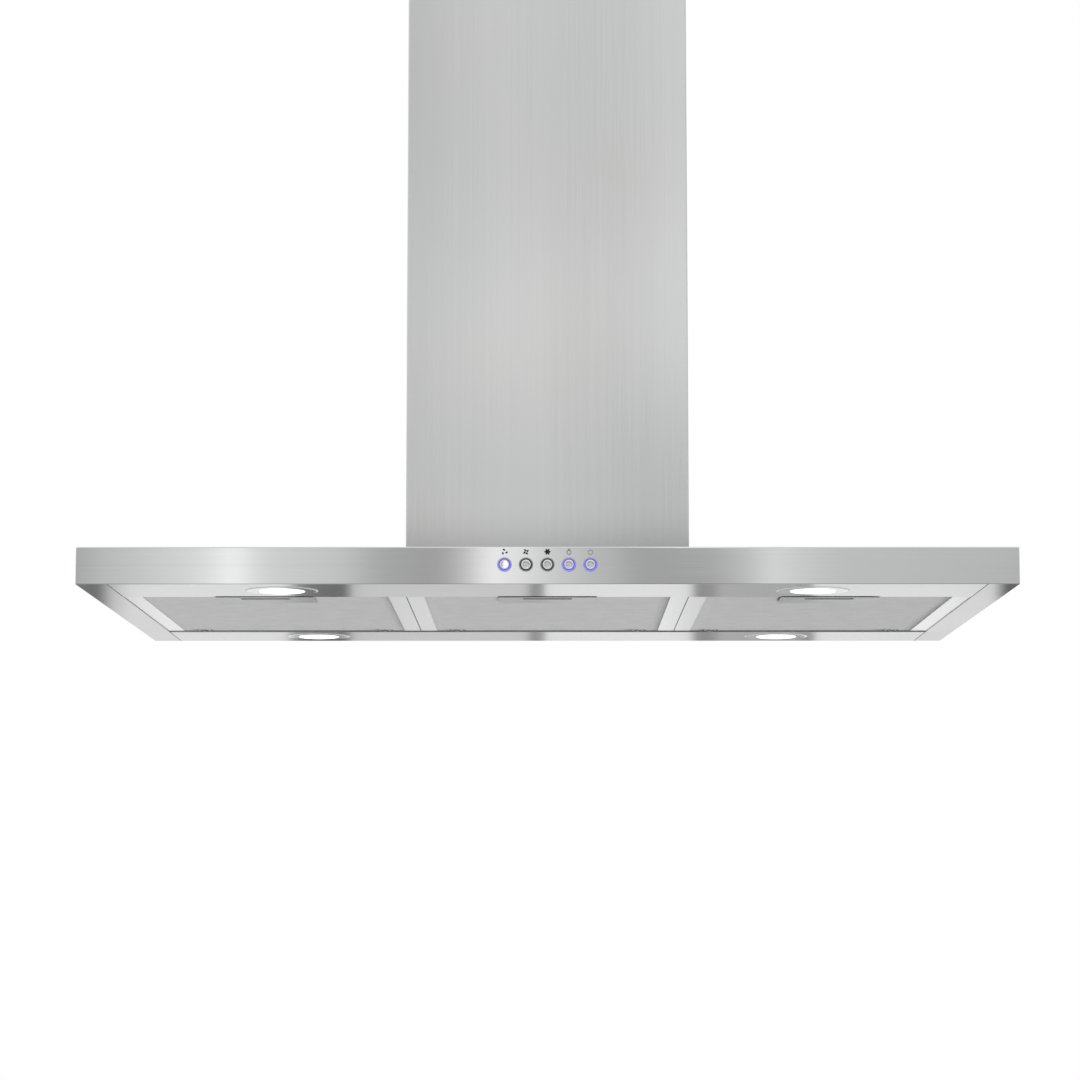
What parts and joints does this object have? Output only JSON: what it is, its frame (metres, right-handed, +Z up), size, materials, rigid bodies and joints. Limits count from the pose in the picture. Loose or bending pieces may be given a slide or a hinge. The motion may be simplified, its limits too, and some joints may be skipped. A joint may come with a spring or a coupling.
{
  "type": "island range hood",
  "caption": "Island range hood: slim rectangular canopy with lamps, hinged mesh filters and push buttons under a square telescopic chimney hung from a ceiling plate.",
  "frame": {"origin": "centre of the ceiling plate's top face, where the hood meets the ceiling", "axes": "+Z up to the ceiling, +X to the viewer's right, -Y towards the viewer at the buttons"},
  "size_m": [0.9, 0.602, 0.9822],
  "materials": {
    "stainless_steel": "brushed, level grain on the canopy and upright grain on the chimney covers",
    "galvanised_steel": "galvanised, satin",
    "chrome": "polished",
    "lamp_lens": "frosted, lit",
    "lamp_body": "die cast",
    "ring_light": "lit light guide",
    "ring_dark": "unlit light guide",
    "cap_lit": "satin, lit",
    "cap_metal": "spun satin",
    "print_black": "printed",
    "print_grey": "printed",
    "black_plastic": "moulded",
    "white_plastic": "moulded",
    "grey_plastic": "moulded",
    "zinc_steel": "zinc plated",
    "motor_metal": "plated, satin",
    "bronze": "sintered",
    "filter_aluminium": "brushed",
    "filter_mesh": "expanded mesh"
  },
  "bodies": {
    "ceiling_frame": {"ceiling_plate": "galvanised_steel", "upper_posts": "galvanised_steel", "cover_brackets": "galvanised_steel"},
    "hood": {"canopy_shell": "stainless_steel", "plenum_rails": "galvanised_steel", "front_panel": "stainless_steel", "rear_panel": "stainless_steel", "lamp_bezel_front_left": "chrome", "lamp_bezel_front_right": "chrome", "lamp_bezel_rear_left": "chrome", "lamp_bezel_rear_right": "chrome", "lamp_lens_front_left": "lamp_lens", "lamp_lens_front_right": "lamp_lens", "lamp_lens_rear_left": "lamp_lens", "lamp_lens_rear_right": "lamp_lens", "lamp_housings": "lamp_body", "switch_housing": "black_plastic", "button_rings_lit": "ring_light", "button_rings_unlit": "ring_dark", "fan_icons": "print_black", "lamp_and_timer_icons": "print_grey", "control_box": "black_plastic", "lamp_driver": "white_plastic", "blower_box": "galvanised_steel", "box_screws": "zinc_steel", "lower_posts": "galvanised_steel", "post_screws": "zinc_steel", "scroll_left": "grey_plastic", "scroll_right": "grey_plastic", "motor": "motor_metal", "motor_bearings": "bronze", "motor_bracket": "galvanised_steel", "capacitor": "white_plastic", "outlet_collar": "galvanised_steel", "flap_pin": "zinc_steel", "cable_gland": "black_plastic"},
    "upper_chimney": {"upper_cover": "stainless_steel", "cover_screws": "zinc_steel"},
    "lower_chimney": {"lower_cover": "stainless_steel"},
    "fan_wheel": {"impeller": "grey_plastic", "motor_shaft": "zinc_steel"},
    "damper_front": {"flap_front": "galvanised_steel"},
    "damper_rear": {"flap_rear": "galvanised_steel"},
    "button_1": {"button_cap_1": "cap_lit"},
    "button_2": {"button_cap_2": "cap_metal"},
    "button_3": {"button_cap_3": "cap_metal"},
    "button_4": {"button_cap_4": "cap_metal"},
    "button_5": {"button_cap_5": "cap_metal"},
    "filter_left": {"filter_frame_left": "filter_aluminium", "filter_mesh_left": "filter_mesh"},
    "latch_left": {"filter_latch_left": "filter_aluminium"},
    "filter_centre": {"filter_frame_centre": "filter_aluminium", "filter_mesh_centre": "filter_mesh"},
    "latch_centre": {"filter_latch_centre": "filter_aluminium"},
    "filter_right": {"filter_frame_right": "filter_aluminium", "filter_mesh_right": "filter_mesh"},
    "latch_right": {"filter_latch_right": "filter_aluminium"}
  },
  "joints": [
    {"name": "hood_height", "type": "slide", "parent": "ceiling_frame", "child": "hood", "axis": [0, 0, 1], "range_m": [-0.15, 0.1]},
    {"name": "upper_cover_slide", "type": "slide", "parent": "ceiling_frame", "child": "upper_chimney", "axis": [0, 0, 1], "range_m": [-0.06, 0]},
    {"name": "lower_cover_lift", "type": "slide", "parent": "hood", "child": "lower_chimney", "axis": [0, 0, 1], "range_m": [0, 0.08]},
    {"name": "fan_spin", "type": "hinge", "parent": "hood", "child": "fan_wheel", "pos_m": [0, -0.04, -0.846], "axis": [1, 0, 0], "continuous": true},
    {"name": "damper_rear_swing", "type": "hinge", "parent": "hood", "child": "damper_rear", "pos_m": [0, 0, -0.692], "axis": [1, 0, 0], "range_deg": [0, 78]},
    {"name": "damper_front_swing", "type": "hinge", "parent": "hood", "child": "damper_front", "pos_m": [0, 0, -0.692], "axis": [-1, 0, 0], "range_deg": [0, 78]},
    {"name": "button_1_press", "type": "slide", "parent": "hood", "child": "button_1", "axis": [0, 1, 0], "range_m": [0, 0.0015], "stiffness_N_per_m": 1200, "springref_m": -0.001},
    {"name": "button_2_press", "type": "slide", "parent": "hood", "child": "button_2", "axis": [0, 1, 0], "range_m": [0, 0.0015], "stiffness_N_per_m": 1200, "springref_m": -0.001},
    {"name": "button_3_press", "type": "slide", "parent": "hood", "child": "button_3", "axis": [0, 1, 0], "range_m": [0, 0.0015], "stiffness_N_per_m": 1200, "springref_m": -0.001},
    {"name": "button_4_press", "type": "slide", "parent": "hood", "child": "button_4", "axis": [0, 1, 0], "range_m": [0, 0.0015], "stiffness_N_per_m": 1200, "springref_m": -0.001},
    {"name": "button_5_press", "type": "slide", "parent": "hood", "child": "button_5", "axis": [0, 1, 0], "range_m": [0, 0.0015], "stiffness_N_per_m": 1200, "springref_m": -0.001},
    {"name": "filter_left_hinge", "type": "hinge", "parent": "hood", "child": "filter_left", "pos_m": [-0.28033, 0.1886, -0.9765], "axis": [1, 0, 0], "range_deg": [0, 85]},
    {"name": "latch_left_slide", "type": "slide", "parent": "filter_left", "child": "latch_left", "axis": [0, 1, 0], "range_m": [0, 0.006], "stiffness_N_per_m": 800, "springref_m": -0.005},
    {"name": "filter_centre_hinge", "type": "hinge", "parent": "hood", "child": "filter_centre", "pos_m": [0, 0.1886, -0.9765], "axis": [1, 0, 0], "range_deg": [0, 85]},
    {"name": "latch_centre_slide", "type": "slide", "parent": "filter_centre", "child": "latch_centre", "axis": [0, 1, 0], "range_m": [0, 0.006], "stiffness_N_per_m": 800, "springref_m": -0.005},
    {"name": "filter_right_hinge", "type": "hinge", "parent": "hood", "child": "filter_right", "pos_m": [0.28033, 0.1886, -0.9765], "axis": [1, 0, 0], "range_deg": [0, 85]},
    {"name": "latch_right_slide", "type": "slide", "parent": "filter_right", "child": "latch_right", "axis": [0, 1, 0], "range_m": [0, 0.006], "stiffness_N_per_m": 800, "springref_m": -0.005}
  ]
}
